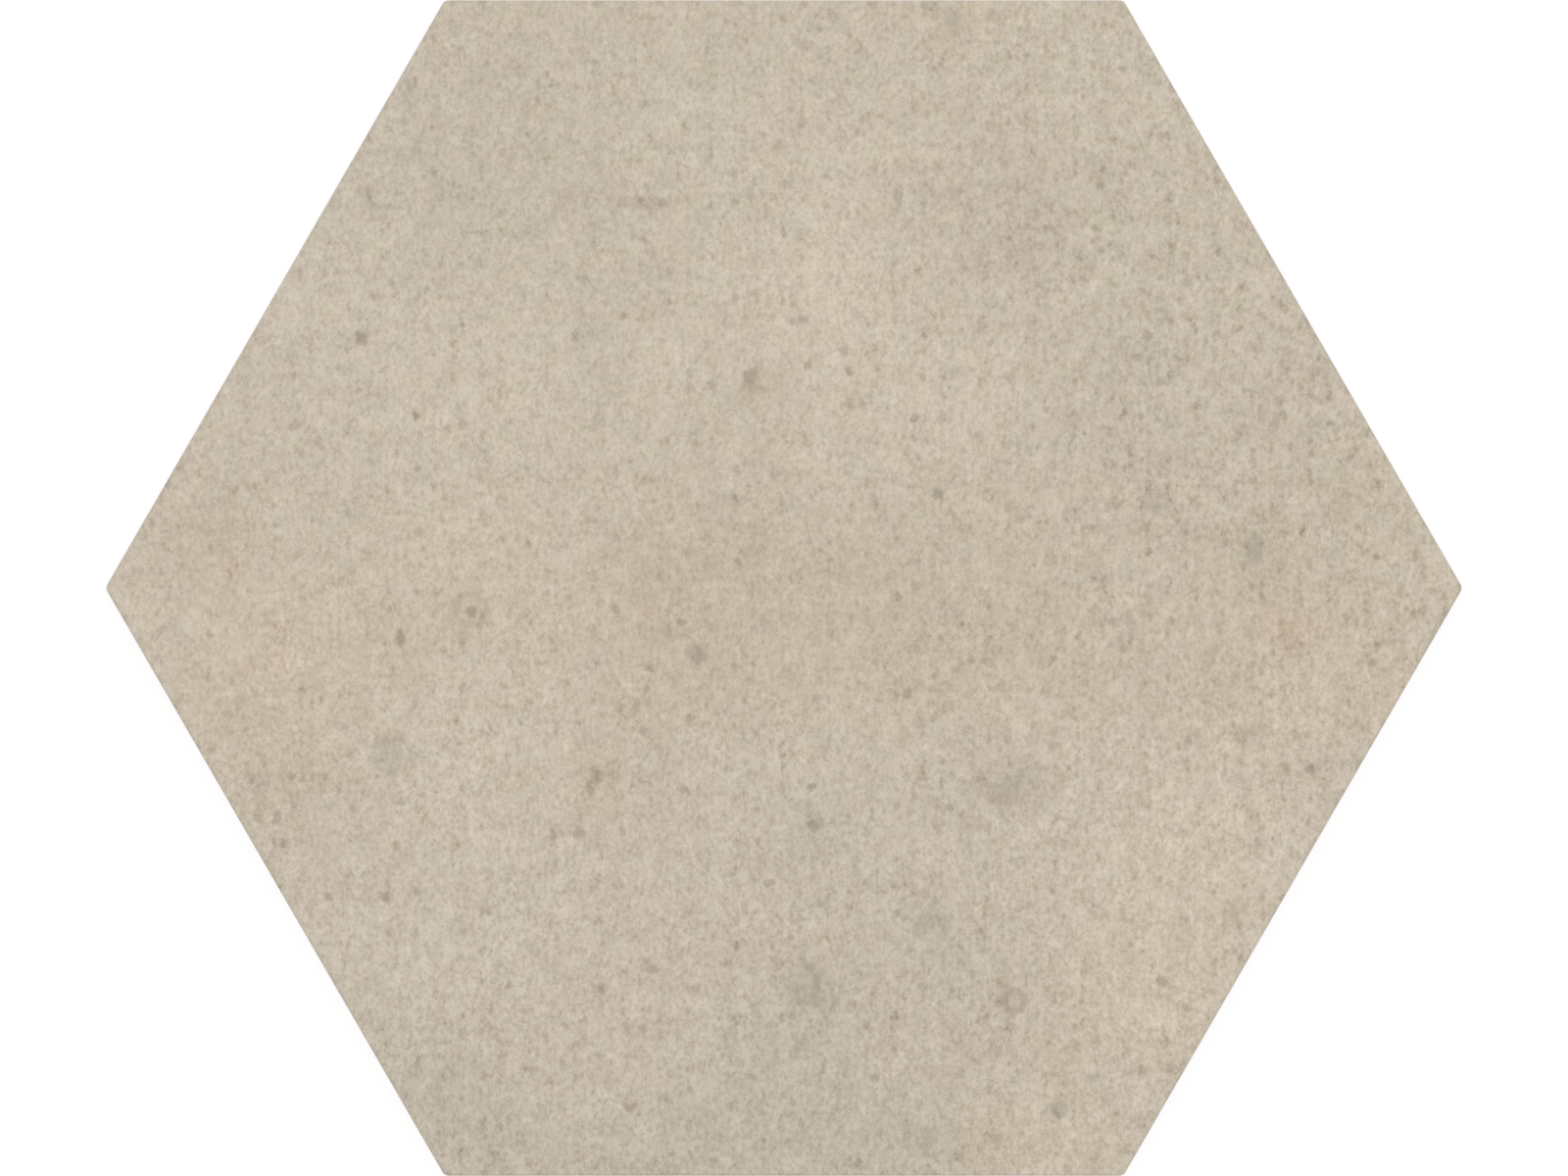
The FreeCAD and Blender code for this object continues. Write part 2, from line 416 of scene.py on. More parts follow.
# %% [markdown]
# ## Nodes written as arithmetic
#
# A material is a small program made of nodes. Built by hand it is a screenful of wires. Here a socket is
# wrapped in a class whose plus, minus and times add the Math nodes, so that a mask is written as a
# formula. Every other node comes from one method: its type, its settings, which have to be set before its
# sockets exist, and then the values or links of those sockets. Colours and vectors never pass a Math
# node, which would turn them grey: they go through Mix and Vector Math.


# %% The helper for nodes
class Socket:
    """A node's output. Arithmetic on it adds Math nodes and gives another Socket."""

    def __init__(self, finish, socket):
        self.finish, self.socket = finish, socket

    def math(self, operation, first, second):
        return self.finish.node("ShaderNodeMath", {"operation": operation}, {0: first, 1: second})

    def __add__(self, other):
        return self.math("ADD", self, other)

    def __sub__(self, other):
        return self.math("SUBTRACT", self, other)

    def __mul__(self, other):
        return self.math("MULTIPLY", self, other)

    def __rsub__(self, other):
        return self.math("SUBTRACT", other, self)

    __radd__, __rmul__ = __add__, __mul__


class Finish:
    """The nodes of a material, or of the world."""

    def __init__(self, owner):
        owner.use_nodes = True
        self.owner = owner
        self.nodes, self.links = owner.node_tree.nodes, owner.node_tree.links
        self.nodes.clear()

    def node(self, kind, settings=None, inputs=None, out=0):
        """Adds a node: its type, its settings, the values or links of its sockets. Returns one output."""
        node = self.nodes.new(kind)
        for name, value in (settings or {}).items():
            setattr(node, name, value)
        for name, value in (inputs or {}).items():
            if isinstance(value, Socket):
                self.links.new(value.socket, node.inputs[name])
            else:
                node.inputs[name].default_value = value
        return Socket(self, node.outputs[out]) if node.outputs else None

    def vector(self, operation, first, second):
        """Vector Math on two vectors, or SCALE on a vector and a number."""
        other = {"Scale": second} if operation == "SCALE" else {1: second}
        out = "Value" if operation == "DISTANCE" else 0
        return self.node("ShaderNodeVectorMath", {"operation": operation}, {0: first, **other}, out)

    def mix(self, factor, first, second, how="MIX"):
        """Mixes two colours. MULTIPLY tints the first with the second."""
        settings = {"data_type": "RGBA", "blend_type": how}
        return self.node("ShaderNodeMix", settings, {0: factor, 6: first, 7: second}, out=2)

    def ramp(self, value, start, end, low=0.0, high=1.0):
        """low before start, high after end, an S-shaped curve between."""
        return self.node("ShaderNodeMapRange", {"interpolation_type": "SMOOTHSTEP"}, {
            "Value": value, "From Min": start, "From Max": end, "To Min": low, "To Max": high})

    def noise(self, place, size, detail=0.0, roughness=0.5, shift=(0, 0, 0)):
        """Soft blobs about half of size across, in the unit of place. About 0.5 on average."""
        moved = self.vector("ADD", place, shift)
        return self.node("ShaderNodeTexNoise", {"noise_dimensions": "3D"}, {
            "Vector": moved, "Scale": 1 / size, "Detail": detail, "Roughness": roughness})

    def warp(self, place, per_mm):
        """Soft random vectors with parts from 0 to 1, to push a place about with."""
        return self.node("ShaderNodeTexNoise", {"noise_dimensions": "3D"}, {
            "Vector": place, "Scale": per_mm, "Detail": 2.0}, out="Color")

    def cells(self, place, per_mm, dimensions):
        """Voronoi cells: how far a point lies from its cell's middle, and the cell's own random number."""
        settings = {"feature": "F1", "voronoi_dimensions": dimensions}
        away = self.node("ShaderNodeTexVoronoi", settings, {"Vector": place, "Scale": per_mm})
        return away, self.split(Socket(self, away.socket.node.outputs["Color"]))[0]

    def place(self):
        """The point on the object in millimetres."""
        return self.vector("SCALE", self.node("ShaderNodeTexCoord", out="Object"), 1000.0)

    def split(self, vector):
        """The x, y and z of a vector."""
        node = self.node("ShaderNodeSeparateXYZ", inputs={0: vector}).socket.node
        return [Socket(self, output) for output in node.outputs]

    def surface(self, colour, roughness, height, depth, **fixed):
        """The Principled shader with a bump of that depth in metres, and the numbers that don't vary."""
        normal = self.node("ShaderNodeBump", inputs={"Height": height, "Distance": depth})
        shader = self.node("ShaderNodeBsdfPrincipled", inputs={
            "Base Color": colour, "Roughness": roughness, "Normal": normal, **fixed})
        self.node("ShaderNodeOutputMaterial", inputs={"Surface": shader})
        return self.owner


# %% [markdown]
# ## The printed coat: broad clouds
#
# The coat is a warm light grey, printed to look like concrete that was floated by hand. At arm's length
# it is nearly one colour; closer to, there are broad clouds: a cream bloom above the middle, an umber
# band across it, slate towards the bottom. Besides the print, the clouds together hold a faint fall from
# a lighter top to a darker bottom, which is painted shade of a light from the top of the picture. They
# are soft and centimetres wide, so they are worked out with numpy at the points of the mesh and stored
# as an attribute that the material multiplies in. Each cloud is an ink, a strength, a place and a size.
# An ink is given in steps of 8-bit colour, as a printer would judge it against a card.

# %% Inks and clouds
PRINT_RGB = np.array([198.4, 186.0, 168.3])   # the coat's plain colour, 8-bit
INKS = {
    "cream": (6, 5, 4.4),
    "sky": (2.0, 2.8, 3.5),
    "mist": (1.6, 2.9, 2.6),
    "ash": (3, 3, 2.8),
    "ochre": (2.8, 1.2, -0.4),
    "rust": (0.5, -2, -4),
    "teal": (-2.8, -1.1, -0.7),
    "slate": (-6, -4.4, -4.2),
    "soot": (-3, -2.9, -2.8),
    "mauve": (-2.6, -3.1, -2.6),
    "umber": (-2.4, -3.8, -5.4),
    "olive": (-1.8, -1.9, -3.4),
}
# Besides the print, these clouds hold painted shade: taken together they leave the face a little lighter at
# the top than at the bottom.
CLOUDS = {  # for each ink: strength, x, y, half width and half height in mm
    "cream": [(0.25, -70, -6, 9, 8), (0.55, 62, -30, 9, 7), (1.45, 6, 44, 8, 8), (0.85, 20, 26, 10, 7),
              (0.5, 8, 62, 6, 5), (0.7, -16, 35, 4, 4), (0.9, 74, -18, 3, 4), (1.0, 63, -41, 10, 8),
              (0.9, 56, -62, 6, 7), (0.5, -42, 8, 7, 7), (0.3, 42, -80, 5, 6)],
    "mist": [(1.0, -14, 69, 7, 9), (0.7, 52, 79, 9, 9)],
    "sky": [(0.9, -68, 45, 11, 12), (0.9, -47, -50, 11, 9), (0.8, -12, -43, 4, 4), (0.7, -66, -60, 5, 8),
            (0.8, 79, -42, 5, 5)],
    "ash": [(1.0, -44, 30, 11, 8), (1.1, -53, -27, 7, 6), (0.8, -39, 35, 4, 5), (0.8, 66, -65, 6, 8),
            (0.5, 35, -19, 18, 4), (0.7, -49, -58, 5, 5), (0.5, -96, -2, 4, 8), (0.95, -42, -24, 9, 12),
            (0.5, 42, -42, 7, 7)],
    "ochre": [(1.4, -75, -10, 10, 8), (0.6, -37, -3, 7, 7), (1.0, 87, -15, 6, 5), (1.1, 41, -85, 6, 4),
              (0.7, 51, -57, 6, 6), (0.8, -52, 6, 8, 5), (0.5, 27, 86, 8, 4)],
    "rust": [(1.3, 75, -6, 4, 3), (0.6, 30, -83, 3, 3), (0.7, 70, -16, 4, 4)],
    "teal": [(0.6, -47, 54, 8, 7), (1.3, -49, 57, 3, 3.4), (0.3, 45, 54, 8, 7), (0.7, -58, 70, 4, 8)],
    "slate": [(0.45, -38, 72, 14, 12), (0.25, 51, 30, 8, 8), (0.5, 53, 36, 3.5, 3.5),
              (1.0, -54, -79, 9, 7), (1.2, -43, -82, 4, 4), (0.3, -56, -68, 6, 7), (1.2, -15, -84, 12, 7),
              (0.85, 1, -67, 9, 7), (0.4, 7, -38, 9, 8), (0.7, 4, -34, 3, 3), (0.15, 24, -53, 8, 9),
              (0.6, 21, -52, 3.5, 4), (0.7, 13, -84, 11, 6), (1.0, 21, -82, 4, 3.5), (0.3, -28, 38, 5, 9),
              (0.35, 3, -75, 8, 4), (0.3, 28, -30, 6, 6), (0.35, 29, -60, 6, 8), (0.3, -28, 54, 7, 7),
              (0.25, 56, 54, 8, 8)],
    "soot": [(2.7, 34, -30, 3.4, 3), (2.8, 3.6, -59, 3, 2.8), (1.7, 70, 4, 3, 3.6), (1.2, 72, 29, 4, 6),
             (1.0, -4.6, 31, 2.4, 2.8), (0.6, 5, 84, 5, 4), (0.4, -14, -6, 5, 5), (0.7, -25, -27, 5, 5),
             (0.5, -29, -30, 6, 5)],
    "mauve": [(0.65, 33, 57, 7, 9), (1.5, 35, 52, 4, 5), (0.45, 82, 37, 7, 8), (0.7, 22, 53, 4, 5),
              (0.3, -74, -31, 8, 6), (0.6, 52, 17, 6, 6), (1.0, 81, -34, 4, 3), (0.5, -66, -41, 6, 5),
              (0.45, 48, 18, 16, 6), (0.5, 29, 64, 6, 7)],
    "umber": [(0.5, -86, 8, 6, 5), (0.9, -84, 7, 3.5, 4), (0.3, -25, -14, 7, 8), (0.35, -17, -8, 5, 5),
              (0.6, -20, 1, 5, 6), (0.9, -7, 4, 3.5, 3.5), (0.8, 9, 2, 5, 3.5), (0.2, 0, 17, 6, 5),
              (1.6, -28, -28.5, 2.2, 2.6), (0.9, -4.6, 31, 2.4, 2.8), (0.6, -74, -29, 5, 4),
              (0.6, 22, -13, 6, 3.5), (0.6, 31, 13, 6, 3), (0.7, 30, -82, 3, 3), (0.7, -79, -19, 4, 3),
              (0.4, 84, -6, 6, 5)],
    "olive": [(0.9, 70, 3, 5, 6), (0.9, 85, 15, 4, 6), (0.5, 88, 5, 7, 9), (1.4, -47, -3, 3.4, 3.6),
              (1.5, -59, -8, 3.8, 4), (1.0, 65, -14, 4, 4), (0.9, 26, 86, 5, 2.5), (0.8, 42, -75, 3, 3),
              (0.4, 40, -66, 4, 8)],
}
BAND_INK, BAND_STRENGTH = "umber", 0.8        # the band across the middle: soft above, cut off below


def clouds(x, y):
    """The colour over the face as a share of the plain one: bell curves of ink added up, then the band.

    The band fades over 24 mm above, thins out over 12 mm below and ends there with a sharper edge. A step
    of 8-bit colour is 2.4 / (value + 14) of the linear colour, the slope of the display curve.
    """
    steps = np.zeros(x.shape + (3,))
    for ink, places in CLOUDS.items():
        for strength, cx, cy, wide, tall in places:
            bell = np.exp(-0.5 * (((x - cx) / wide) ** 2 + ((y - cy) / tall) ** 2))
            steps += strength * bell[..., None] * np.array(INKS[ink])
    band = (1 - smooth(y, -2, 22)) * (0.45 * smooth(y, -22.5, -20) + 0.55 * smooth(y, -20, -8))
    band = band * smooth(x, -32, -16) * (1 - smooth(x, 20, 95))
    steps += BAND_STRENGTH * band[..., None] * np.array(INKS[BAND_INK])
    return 1 + steps * 2.4 / (PRINT_RGB + 14)


points = np.zeros(len(tile.data.vertices) * 3, np.float32)
tile.data.vertices.foreach_get("co", points)
points = points.reshape(-1, 3).astype(float) / MM
tone = np.ones((len(points), 4), np.float32)
tone[:, :3] = clouds(points[:, 0], points[:, 1])
tile.data.attributes.new("clouds", "FLOAT_COLOR", "POINT").data.foreach_set("color", tone.ravel())
print("clouds from", tone[:, :3].min(0).round(3), "to", tone[:, :3].max(0).round(3))


# %% [markdown]
# ## The printed coat: grain, specks and marks
#
# Close up the coat is as grainy as fine sandstone. A fine noise and a wider one make the grain, a little
# taller than wide. The fine one is curved so that it has more dark than light in it. Both get stronger
# towards the right and the bottom, and the wider one gains more there, so that the grain looks coarser. A
# slow noise calms the fine one in places, and two noises drawn out to threads add the float's faint
# streaks along and across. Dark specks are the cells of a Voronoi texture: each cell's own random number
# says whether it has a speck and how dark it is. Two more slow noises pull the hue a hair towards rose or
# green and towards straw or blue, as four-colour printing does. Some hundred marks are placed one by one,
# as single smudges, streaks and rings: each is the distance to its middle, turned into a mask. All of
# them are read through a slightly warped place, so that none is a true circle.

# %% Marks placed one by one
MARKS = {  # for each ink: strength, x, y, half width and half height in mm
    "soot": [(0.75, -63, 37.3, 1.1, 1.1), (0.7, -5, 31.5, 1.2, 1.2), (0.3, -4.5, 29.8, 1.8, 1.2),
             (0.34, -20, 57.4, 4.6, 1.1), (0.16, -30.4, 41, 0.6, 6), (0.14, -7, 58.4, 8, 0.6),
             (0.35, 3, 80.8, 1.1, 0.8), (0.3, -8, 13.5, 1.8, 0.9), (0.55, 17, 58, 0.8, 1.8),
             (0.65, 3.5, 33, 0.8, 0.7), (0.55, 8.8, 35.3, 0.8, 0.8), (0.55, 20.6, 31.5, 0.7, 0.7),
             (0.7, 19.5, 25.3, 0.8, 0.9), (0.35, 65.5, 7, 0.8, 1.2), (0.7, -46.5, -3.5, 0.9, 0.9),
             (0.55, -25, -3.2, 0.7, 0.7), (0.65, -15.3, -5.2, 0.7, 0.7), (0.65, -20.3, -11.8, 0.7, 0.7),
             (0.55, -22, -17.5, 0.6, 1.2), (0.6, -21, -21.3, 0.7, 0.7), (0.55, -73.5, -28, 0.9, 0.7),
             (0.55, -75.5, -34, 0.6, 1.2), (0.7, -74.5, -38, 0.8, 0.8), (0.6, -57, -31.7, 0.8, 0.8),
             (0.6, -30.5, -36.5, 1.2, 0.7), (0.7, -67.8, -46, 0.9, 0.8), (0.7, -59.3, -45.8, 0.9, 0.8),
             (0.3, -44.5, -47.5, 1.1, 1.1), (0.7, -27.2, -59.5, 0.9, 0.8), (0.6, -19.5, -56.7, 1.6, 0.7),
             (0.55, -13, -59.5, 0.8, 0.8), (0.7, -23, -77.2, 1.1, 0.7), (0.55, -23.5, -65.5, 0.6, 1.1),
             (0.3, -47, -66, 1.8, 0.6), (0.6, -14.8, -29.8, 0.9, 0.7), (0.3, -66, -20.5, 1.2, 0.5),
             (0.55, -2, -43.8, 0.8, 0.7), (0.7, 4.2, -29.5, 0.8, 0.6), (0.7, 4.5, -35.3, 0.9, 0.9),
             (0.32, 21.5, -81.5, 1.1, 1.6), (0.25, 40.2, -77.8, 1.7, 1.5), (0.28, 33.8, -61.6, 1.5, 1.5),
             (0.65, 11, -85.5, 0.9, 0.8), (0.65, 18.3, -15.7, 0.8, 0.8), (0.55, 23.5, -7.5, 0.8, 0.7),
             (0.6, 24.5, -32.7, 0.6, 0.6), (0.3, 35, -27.7, 0.9, 0.8), (0.3, 33, -30.5, 3.0, 2.2),
             (0.75, 78.3, -27, 0.8, 0.8), (0.55, 70.5, -38, 0.6, 0.7), (0.6, 56.3, -58.5, 0.9, 0.8),
             (0.55, 13.5, -73, 0.7, 0.7), (0.35, 49.3, -5, 0.9, 0.8), (0.3, 68, -22, 1.4, 1.8),
             (0.2, 66, -48, 1.4, 1.8), (0.5, 54, 37.5, 0.8, 0.8), (0.45, 56.5, 35, 0.9, 0.7),
             (0.45, 52.5, 34.2, 0.8, 0.7), (0.5, -7.3, 43.3, 0.7, 0.8), (0.4, -4.3, 44, 0.7, 0.7),
             (0.55, 2.9, 39.9, 0.8, 0.8), (0.4, -13.8, 29.8, 0.8, 0.7), (0.4, -10.7, 30.2, 0.8, 0.7),
             (0.5, -54.5, 25.4, 0.6, 0.6), (0.45, -50.1, 23.7, 0.7, 0.6), (0.5, -69.1, 22, 0.6, 0.7),
             (0.4, -72.7, 24.3, 0.7, 0.7), (0.3, -44.1, 31.7, 1.2, 0.9), (0.5, 9.7, 27.5, 0.7, 0.8),
             (0.45, 11.6, 27.5, 0.6, 0.8), (0.4, 55.8, 30.6, 0.8, 0.8), (0.5, 73.7, 27.7, 0.8, 0.8),
             (0.4, 72.8, 24.1, 0.8, 0.7), (0.4, 87.5, -11, 0.8, 0.8), (0.4, -41.1, -43.5, 0.7, 0.7),
             (0.35, -47.8, -51.2, 0.8, 0.7), (0.45, -5.2, -13.8, 0.7, 0.7), (0.45, 4.8, -16.7, 0.7, 0.7),
             (0.35, -24.8, -33.8, 0.8, 0.7)],
    "rust": [(0.6, -27.9, -27.8, 0.8, 1.3), (0.55, -28.8, -29.8, 0.6, 1.6), (0.75, -57, -7.6, 0.6, 1.3),
             (0.3, 20.5, -27.5, 0.7, 1.4), (0.2, 75, -9, 1.5, 0.6), (0.3, 37.5, 53.5, 4.5, 0.4)],
    "sage": [(0.8, 22.8, 14, 0.9, 0.9), (0.35, 21.5, 86.6, 1.3, 0.8), (0.45, 69.8, 6, 1.6, 2.6),
             (0.4, 25, 84, 1.4, 2.2), (0.65, 4, -56.3, 1.0, 0.8), (0.6, 4.9, -58.6, 0.7, 1.6),
             (0.4, 4.4, -61.3, 1.5, 1.2), (0.3, 2.1, -59.6, 1.8, 1.1), (0.5, 40.8, -77.5, 1.3, 1.4),
             (0.35, 22, -50, 1.6, 1.5), (0.25, 45.8, -73, 1.4, 0.8), (0.3, -58.5, -25, 2.2, 3.2),
             (0.3, -47.5, -7, 1.3, 1.0)],
    "violet": [(0.65, -12.8, -9.8, 1.7, 1.6), (0.35, 55, 13, 1.8, 1.8), (0.4, 31.5, -82, 1.2, 1.0),
               (0.3, 67, -28, 1.5, 1.3), (0.35, 45, -56.5, 0.8, 1.4), (0.3, 46.5, 8.8, 1.6, 0.8)],
}
RING_MARKS = [                                # strength, x, y and radius in mm
    (0.5, 34.2, -61.5, 1.5), (0.2, 22, -50.3, 2.1), (0.2, -58.3, -24.7, 2.9), (0.35, -46.6, -3.2, 2.3)]
MARK_RGB = {"soot": (160, 147, 130), "rust": (156, 138, 113),
            "sage": (161, 154, 136), "violet": (165, 153, 137)}
ARRIS_PAINTED_LIGHT_RGB = (224, 220, 214)                   # painted light: a paler colour over the arris, against the shade it gets as it rounds away from the light
GRAIN_DEPTH = 0.02 * MM                       # of the bump


# %% The face's finish
def to_linear(rgb):
    """8-bit colour to the linear colour that a shader takes."""
    share = np.array(rgb, float) / 255
    return (*(((share + 0.055) / 1.055) ** 2.4), 1.0)


def printed_face():
    """The matt printed coat of the walking face."""
    coat = Finish(bpy.data.materials.new("printed_coat"))
    place = coat.place()
    x, y, z = coat.split(place)
    tall = coat.vector("MULTIPLY", place, (1, 0.72, 1))
    low_down = coat.ramp(y, 10, -60)
    coarse = coat.ramp(x, -10, 70) * (1 - low_down * 0.8)

    fine = coat.noise(tall, 0.7, 2.0, 0.9) - 0.5
    wide = coat.noise(tall, 2.4, 2.0, 0.8, shift=(31, 7, 0)) - 0.5
    calm = coat.ramp(coat.noise(place, 7.0, 1.0, shift=(0, 9, 3)), 0.35, 0.6, 0.86, 1.06)
    grain = fine * (1 - fine * 1.1) * (0.83 + coarse * 0.07 + low_down * 0.12) * calm
    grain = grain + wide * (0.42 + coarse * 0.15 + low_down * 0.1)
    for stretch, shift in (((0.1, 1, 1), (4, 0, 9)), ((1, 0.1, 1), (0, 6, 2))):
        streak = coat.noise(coat.vector("MULTIPLY", place, stretch), 3.2, 3.0, 0.6, shift=shift) - 0.5
        grain = grain + streak * 0.09

    push = coat.vector("SUBTRACT", coat.warp(place, 0.9), (0.5, 0.5, 0.5))
    loose = coat.vector("ADD", place, coat.vector("SCALE", push, 1.6))
    specks = 0
    for size, reach, strength in ((3.4, 0.75, 0.18 + coarse * 0.03), (1.4, 0.68, 0.12 + coarse * 0.05)):
        away, pick = coat.cells(coat.vector("MULTIPLY", loose, (1, 0.65, 1)), 1 / size, "2D")
        speck = coat.ramp(away, 0.15 / size, reach / size, 1, 0) * coat.ramp(pick, 0.3, 1.0)
        specks = speck * strength + specks

    pull = coat.ramp(y, -60, 60, 0.5, 2.0)
    rose = (coat.noise(place, 3.6, 2.0, 0.6, shift=(70, 2, 1)) - 0.5) * pull
    straw = (coat.noise(place, 4.4, 2.0, 0.6, shift=(9, 80, 5)) - 0.5) * pull
    hue = coat.vector("ADD", coat.vector("SCALE", (1, -1, 1), rose * 0.03),
                      coat.vector("SCALE", (1, 0, -1), straw * 0.04))
    masks = {}
    for ink, places in MARKS.items():
        for strength, cx, cy, half_wide, half_tall in places:
            near = coat.node("ShaderNodeVectorMath", {"operation": "MULTIPLY_ADD"}, {
                0: loose, 1: (1 / half_wide, 1 / half_tall, 0), 2: (-cx / half_wide, -cy / half_tall, 0)})
            away = coat.node("ShaderNodeVectorMath", {"operation": "LENGTH"}, {0: near}, out="Value")
            mark = coat.ramp(away, 0.5, 1.3, strength, 0)
            masks[ink] = masks[ink] + mark if ink in masks else mark
    for strength, cx, cy, radius in RING_MARKS:
        away = coat.vector("DISTANCE", coat.vector("MULTIPLY", loose, (1, 1, 0)), (cx, cy, 0))
        off = away.math("ABSOLUTE", away - radius, 0)
        masks["soot"] = masks["soot"] + coat.ramp(off, 0.2, 0.9, strength, 0)

    covered = sum(masks.values())
    shade = coat.vector("SCALE", (0.9, 1.0, 1.13), grain * (1 - covered * 0.5) - specks)
    print_tone = coat.vector("ADD", coat.vector("ADD", shade, hue), (1, 1, 1))

    cloud = coat.node("ShaderNodeAttribute", {"attribute_name": "clouds"}, out="Color")
    colour = coat.mix(1.0, cloud, to_linear(PRINT_RGB), "MULTIPLY")
    for ink, mask in masks.items():
        colour = coat.mix(mask, colour, to_linear(MARK_RGB[ink]))
    colour = coat.vector("MULTIPLY", colour, print_tone)
    # Painted light: over the arris the colour is lifted towards a pale grey, to cancel the shade that the
    # rounded edge gets as it turns away from the lamp.
    rolled = coat.ramp(z, (thickness - arris_radius) / MM, thickness / MM - 0.03, 1, 0)
    colour = coat.mix(rolled, colour, to_linear(ARRIS_PAINTED_LIGHT_RGB))

    roughness = 0.72 + grain * 0.2
    return coat.surface(colour, roughness, grain, GRAIN_DEPTH, **{"IOR": 1.5, "Specular IOR Level": 0.4})


tile.data.materials.append(printed_face())


# %% [markdown]
# ## The fired body: sides and back
#
# Below the coat the tile is bare fired clay: a light grey-beige stone with fine sand in it and here and
# there a dark mineral grain. The die's wall has drawn faint upright scratches down the band. The back
# rode through the kiln on rollers dusted with a white wash, so its rim and rib crests carry chalky
# streaks along the way it travelled, while the pockets stayed clean. The pockets are also painted a
# shade darker the deeper they go: painted shade in the recesses. The material has to know a pocket's
# wall and floor from the bevel, which lies at the same heights. Their place in the tile tells them
# apart, so numpy stores the depth in a pocket, 0 at its mouth and 1 on its floor, as a second attribute.

# %% How deep in a pocket each point lies
clear_of_bevel = (half_across - bevel_inset) / MM - 3
inside = apothem_at(points[:, 0], points[:, 1]) < clear_of_bevel
in_back = inside & (points[:, 2] < bevel_height / MM)
sunk = np.where(in_back, points[:, 2] * MM / pocket_depth, 0).astype(np.float32)
tile.data.attributes.new("depth", "FLOAT", "POINT").data.foreach_set("value", sunk)
print(f"{(sunk > 0.9).mean():.0%} of the points lie on a pocket's floor")


# %% The body's finish
# The third colour here is the painted shade deep in the pockets, and also the colour of the band's
# scratches.
CLAY_RGB, PALE_CLAY_RGB, POCKET_SHADE_AND_SCRATCH_RGB = (187, 179, 166), (204, 198, 186), (166, 156, 141)
WASH_RGB, GRIT_RGB, ROLLED_RGB = (229, 226, 219), (112, 104, 96), (201, 192, 178)
SAND_DEPTH = 0.03 * MM                        # of the bump


def fired_body():
    """The bare body of the sides and the back."""
    body = Finish(bpy.data.materials.new("fired_body"))
    place = body.place()
    z = body.split(place)[2]
    depth = body.node("ShaderNodeAttribute", {"attribute_name": "depth"}, out="Fac")

    sand = body.noise(place, 0.6, 3.0, 0.7)
    patch = body.noise(place, 14.0, 3.0, 0.6, shift=(3, 50, 8))
    pale = body.ramp(patch * 0.45 + sand * 0.55, 0.34, 0.64)
    clay = body.mix(pale, to_linear(CLAY_RGB), to_linear(PALE_CLAY_RGB))
    # Painted shade: the pockets' colour, darker than the clay, is taken in as the depth in a pocket grows.
    shaded_pocket = body.mix(body.ramp(sand, 0.3, 0.66), to_linear(POCKET_SHADE_AND_SCRATCH_RGB), to_linear(CLAY_RGB))
    colour = body.mix(body.ramp(depth, 0.15, 0.8, 0, 0.85), clay, shaded_pocket)

    scratch = body.noise(body.vector("MULTIPLY", place, (1, 1, 0.04)), 0.7, 3.0, 0.7, shift=(5, 5, 5))
    on_band = body.ramp(z, 1.6, 3.2)
    scratched = body.ramp(scratch, 0.5, 0.72, 0, 0.5) * on_band
    colour = body.mix(scratched, colour, to_linear(POCKET_SHADE_AND_SCRATCH_RGB))

    loose = body.vector("ADD", place, body.vector("SCALE", body.warp(place, 2.0), 0.5))
    away, pick = body.cells(loose, 0.55, "3D")
    grit = body.ramp(away, 0.06, 0.17, 0.75, 0) * body.ramp(pick, 0.4, 0.9)
    colour = body.mix(grit, colour, to_linear(GRIT_RGB))

    streak = body.noise(body.vector("MULTIPLY", place, (0.05, 1, 1)), 1.6, 4.0, 0.65, shift=(2, 9, 4))
    cover = body.noise(place, 30.0, 3.0, 0.6, shift=(60, 1, 7))
    crest = body.ramp(z, 0.01, 0.12, 1, 0)
    wash = body.ramp(streak + cover, 0.9, 1.25, 0, 0.85) * crest
    wash = wash * body.ramp(sand, 0.25, 0.55, 0.55, 1)
    colour = body.mix(wash, colour, to_linear(WASH_RGB))

    ragged = body.noise(place, 1.6, 3.0, 0.7, shift=(8, 8, 8))
    arris_foot = (thickness - arris_radius) / MM
    rolled = body.ramp(z + (ragged - 0.5) * 1.4, arris_foot - 0.35, arris_foot - 0.1)
    colour = body.mix(rolled, colour, to_linear(ROLLED_RGB))

    roughness = 0.86 + (sand - 0.5) * 0.2 + wash * 0.08 - rolled * 0.12
    height = sand + scratched * -0.8 + depth * patch * 0.6 + wash * 0.3
    return body.surface(colour, roughness, height, SAND_DEPTH, **{"IOR": 1.5, "Specular IOR Level": 0.3})


tile.data.materials.append(fired_body())
centre_z = np.zeros(len(tile.data.polygons) * 3, np.float32)
tile.data.polygons.foreach_get("center", centre_z)
bare = centre_z.reshape(-1, 3)[:, 2] < thickness - arris_radius
tile.data.polygons.foreach_set("material_index", bare.astype(np.int32))
print(f"{bare.mean():.0%} of the faces are bare body")

# %% [markdown]
# ## Floor, lamp and world
#
# The studio is a white floor under one broad softbox and an even white sky. Together the lamp and the sky
# light a level surface at 1, so that a colour renders as it is written. The floor and the sky show pure
# white to the camera and to mirror-like rays through Light Path, while the light that they send on to the
# tile stays as it is, and the floor still takes the tile's shadow. Right under the tile the floor is
# open, and a second softbox shines up from below: neither shows from above, and a camera below the floor
# sees the back in the same light.

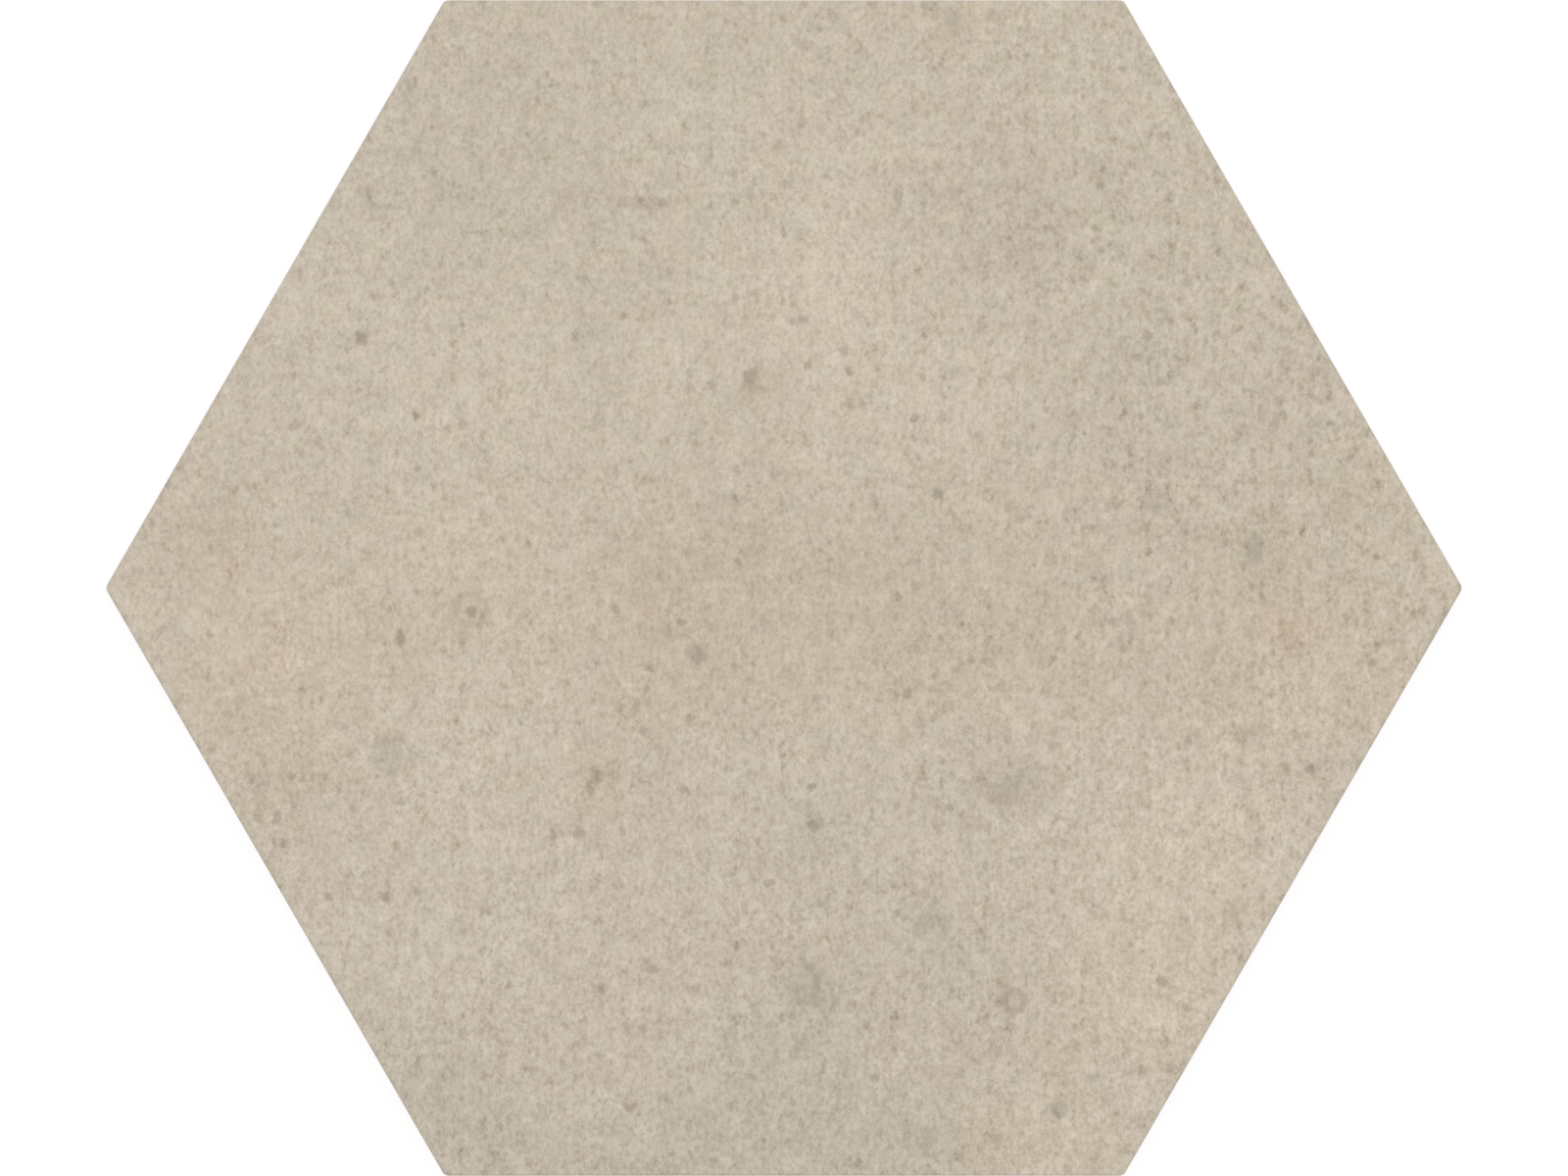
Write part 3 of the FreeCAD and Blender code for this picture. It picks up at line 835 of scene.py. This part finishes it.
# %% The studio
SKY = 0.5                                     # how brightly the sky lights the tile
LAMP_W = 14.0
FLOOR_GLOW, FLOOR_SHADE = 0.86, 0.17          # what the camera sees of it: its own light, the lamp's
PAPER = 0.85                                  # what the floor sends back to the tile


def seen(finish):
    """1 for rays from the camera and for mirror and glass rays, 0 for the rays that light things."""
    path = finish.node("ShaderNodeLightPath").socket.node
    camera_ray, mirror_ray, glass_ray = (Socket(finish, path.outputs[f"Is {kind} Ray"])
                                         for kind in ("Camera", "Glossy", "Transmission"))
    return camera_ray.math("MAXIMUM", camera_ray, camera_ray.math("MAXIMUM", mirror_ray, glass_ray))


opening = half_across - bevel_inset - 0.5 * MM    # hidden by the tile, seen from above
floor_size, floor_round = 3.0, 0.1
floor_drop = 0.02 * MM                            # so that floor and tile never share a plane
floor_ring = hexagon_path([opening, floor_size], [corner_radius, floor_round], 12, corner_steps)
floor_skin = Skin()
floor_skin.grid(with_height(floor_ring, -floor_drop)[::-1], closed=True)
floor_mesh = bpy.data.meshes.new("studio_floor")
floor_mesh.from_pydata(np.concatenate(floor_skin.points), [], np.concatenate(floor_skin.faces).tolist())
print("the floor faces up:", all(face.normal.z > 0 for face in floor_mesh.polygons))
floor = bpy.data.objects.new("studio_floor", floor_mesh)
scene.collection.objects.link(floor)
paper = Finish(bpy.data.materials.new("studio_paper"))
glow = paper.node("ShaderNodeEmission", inputs={"Strength": FLOOR_GLOW})
dim = paper.node("ShaderNodeBsdfDiffuse", inputs={"Color": (FLOOR_SHADE,) * 3 + (1,)})
bright = paper.node("ShaderNodeBsdfDiffuse", inputs={"Color": (PAPER, PAPER, PAPER, 1)})
shown = paper.node("ShaderNodeAddShader", inputs={0: glow, 1: dim})
mixed = paper.node("ShaderNodeMixShader", inputs={0: seen(paper), 1: bright, 2: shown})
paper.node("ShaderNodeOutputMaterial", inputs={"Surface": mixed})
floor_mesh.materials.append(paper.owner)

lamp = bpy.data.lights.new("softbox", "AREA")
lamp.shape, lamp.size = "SQUARE", 1.4
lamp.energy = LAMP_W
lamp_back, lamp_up = 0.25, 1.5
for name, up in (("softbox", 1), ("softbox_below", -1)):
    softbox = bpy.data.objects.new(name, lamp)
    softbox.location = (0, lamp_back, up * lamp_up)
    softbox.rotation_euler = (-math.atan2(lamp_back, up * lamp_up), 0, 0)
    scene.collection.objects.link(softbox)

world = bpy.data.worlds.new("studio_sky")
scene.world = world
sky = Finish(world)
strength = seen(sky) * (1 - SKY) + SKY
background = sky.node("ShaderNodeBackground", inputs={"Color": (1, 1, 1, 1), "Strength": strength})
sky.node("ShaderNodeOutputWorld", inputs={"Surface": background})
